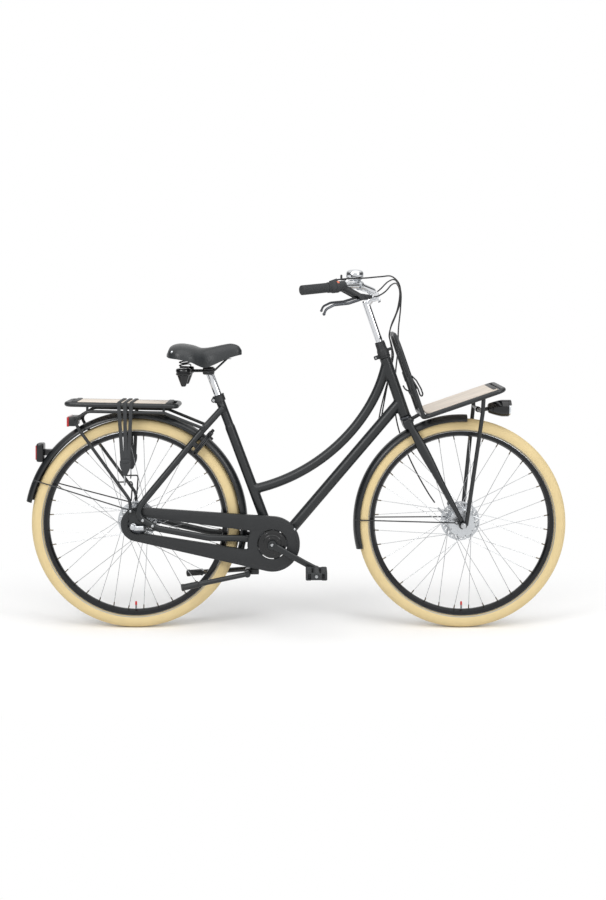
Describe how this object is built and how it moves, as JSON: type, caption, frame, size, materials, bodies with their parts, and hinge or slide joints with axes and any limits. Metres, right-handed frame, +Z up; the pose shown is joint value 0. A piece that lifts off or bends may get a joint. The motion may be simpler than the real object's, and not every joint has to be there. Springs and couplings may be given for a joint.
{
  "type": "dutch city bike",
  "caption": "Step-through city bicycle with front and rear carriers, mudguards, full chain case, two-leg stand, ring lock, sprung saddle and swept-back handlebar.",
  "frame": {"origin": "on the ground, midway along the bicycle's length, in its middle plane", "axes": "+X forward, +Y to the rider's left, +Z up"},
  "size_m": [1.8701, 0.6296, 1.2363],
  "materials": {
    "satin_frame": "satin anthracite",
    "rubber": "matte black",
    "plastic": "satin black",
    "chrome": "polished",
    "steel": "bright zinc",
    "alloy": "satin",
    "tyre": "cream matte",
    "rim": "black gloss",
    "wood": "pale oiled",
    "saddle": "matte dark grey",
    "lamp": "gloss black"
  },
  "bodies": {
    "frame_body": {"frame": "satin_frame", "bottom_bracket": "steel", "seat_clamp": "plastic", "rear_axle": "steel", "rear_mudguard": "satin_frame", "chain": "steel", "chain_case": "plastic", "shift_unit": "alloy", "rear_carrier": "satin_frame", "rear_deck": "wood", "carrier_straps": "rubber", "rear_lamp": "lamp", "ring_lock": "plastic", "rear_brake": "steel"},
    "steering_body": {"fork": "satin_frame", "headset": "plastic", "stem": "chrome", "handlebar": "chrome", "right_grip": "rubber", "left_grip": "rubber", "right_brake_mount": "plastic", "left_brake_mount": "plastic", "bell": "chrome", "front_axle": "steel", "front_mudguard": "satin_frame", "front_carrier": "satin_frame", "front_deck": "wood", "front_lamp": "lamp", "front_brake": "steel", "front_brake_cable": "rubber", "rear_brake_cable": "rubber", "shift_cable": "rubber"},
    "front_wheel": {"front_tyre": "tyre", "front_rim": "rim", "front_hub": "alloy", "front_cooling_disc": "alloy"},
    "rear_wheel": {"rear_tyre": "tyre", "rear_rim": "rim", "rear_hub": "alloy", "rear_cooling_disc": "alloy"},
    "crankset": {"chainring": "steel", "crank_axle": "steel", "right_crank": "satin_frame", "left_crank": "satin_frame"},
    "rear_sprocket_body": {"rear_sprocket": "steel"},
    "right_pedal_body": {"right_pedal": "rubber"},
    "left_pedal_body": {"left_pedal": "rubber"},
    "seat_body": {"seat_post": "chrome", "saddle": "saddle", "saddle_rails": "plastic", "right_saddle_spring": "steel", "left_saddle_spring": "steel"},
    "stand_body": {"stand": "satin_frame"},
    "lock_bow_body": {"lock_bow": "steel"},
    "shifter_body": {"shifter": "rubber"},
    "right_lever_body": {"right_brake_lever": "plastic"},
    "left_lever_body": {"left_brake_lever": "plastic"},
    "front_cam_body": {"front_brake_cam": "steel"},
    "rear_cam_body": {"rear_brake_cam": "steel"},
    "bell_trigger_body": {"bell_trigger": "plastic"}
  },
  "joints": [
    {"name": "steering", "type": "hinge", "parent": "frame_body", "child": "steering_body", "pos_m": [0.51249, 0, 0.34016], "axis": [-0.3256, 0, 0.9455], "range_deg": [-50, 50], "deforming": ["rear_brake_cable", "shift_cable"]},
    {"name": "front_wheel_spin", "type": "hinge", "parent": "steering_body", "child": "front_wheel", "pos_m": [0.573, 0, 0.361], "axis": [0, 1, 0], "continuous": true},
    {"name": "rear_wheel_spin", "type": "hinge", "parent": "frame_body", "child": "rear_wheel", "pos_m": [-0.554, 0, 0.361], "axis": [0, 1, 0], "continuous": true},
    {"name": "crank_spin", "type": "hinge", "parent": "frame_body", "child": "crankset", "pos_m": [-0.08, 0, 0.297], "axis": [0, 1, 0], "continuous": true, "deforming": ["chain"]},
    {"name": "rear_sprocket_spin", "type": "hinge", "parent": "frame_body", "child": "rear_sprocket_body", "pos_m": [-0.554, 0, 0.361], "axis": [0, 1, 0], "continuous": true},
    {"name": "right_pedal_spin", "type": "hinge", "parent": "crankset", "child": "right_pedal_body", "pos_m": [0.0694, -0.14, 0.21588], "axis": [0, 1, 0], "continuous": true},
    {"name": "left_pedal_spin", "type": "hinge", "parent": "crankset", "child": "left_pedal_body", "pos_m": [-0.2294, 0.14, 0.37812], "axis": [0, 1, 0], "continuous": true},
    {"name": "seat_height", "type": "slide", "parent": "frame_body", "child": "seat_body", "axis": [-0.3518, 0, 0.9361], "range_m": [-0.04, 0.05]},
    {"name": "stand_fold", "type": "hinge", "parent": "frame_body", "child": "stand_body", "pos_m": [-0.166, 0, 0.191], "axis": [0, -1, 0], "range_deg": [0, 104]},
    {"name": "lock_slide", "type": "hinge", "parent": "frame_body", "child": "lock_bow_body", "pos_m": [-0.33224, 0, 0.62529], "axis": [0.766, 0, -0.6428], "range_deg": [0, 132]},
    {"name": "gear_twist", "type": "hinge", "parent": "steering_body", "child": "shifter_body", "pos_m": [0.12167, -0.23922, 1.17697], "axis": [0.853, 0.515, 0.0845], "range_deg": [-35, 35]},
    {"name": "right_brake_squeeze", "type": "hinge", "parent": "steering_body", "child": "right_lever_body", "pos_m": [0.21584, -0.206, 1.14334], "axis": [-0.464, 0.8713, -0.1598], "range_deg": [0, 20], "stiffness_Nm_per_rad": 1.5, "springref_deg": -5.73},
    {"name": "left_brake_squeeze", "type": "hinge", "parent": "steering_body", "child": "left_lever_body", "pos_m": [0.21584, 0.206, 1.14334], "axis": [0.464, 0.8713, 0.1598], "range_deg": [0, 20], "stiffness_Nm_per_rad": 1.5, "springref_deg": -5.73, "deforming": ["front_brake_cable"]},
    {"name": "front_brake_pull", "type": "hinge", "parent": "steering_body", "child": "front_cam_body", "pos_m": [0.549, 0.0463, 0.353], "axis": [0, 1, 0], "range_deg": [0, 8]},
    {"name": "rear_brake_pull", "type": "hinge", "parent": "frame_body", "child": "rear_cam_body", "pos_m": [-0.544, 0.0513, 0.387], "axis": [0, -1, 0], "range_deg": [0, 9]},
    {"name": "bell_press", "type": "hinge", "parent": "steering_body", "child": "bell_trigger_body", "pos_m": [0.16554, -0.14427, 1.20153], "axis": [0, 0, 1], "range_deg": [0, 25], "stiffness_Nm_per_rad": 0.05}
  ],
  "couplings": [
    {"joint": "rear_sprocket_spin", "follows": "crank_spin", "ratio": 2.1111},
    {"joint": "front_brake_pull", "follows": "left_brake_squeeze", "ratio": 0.36},
    {"joint": "rear_brake_pull", "follows": "right_brake_squeeze", "ratio": 0.44}
  ]
}
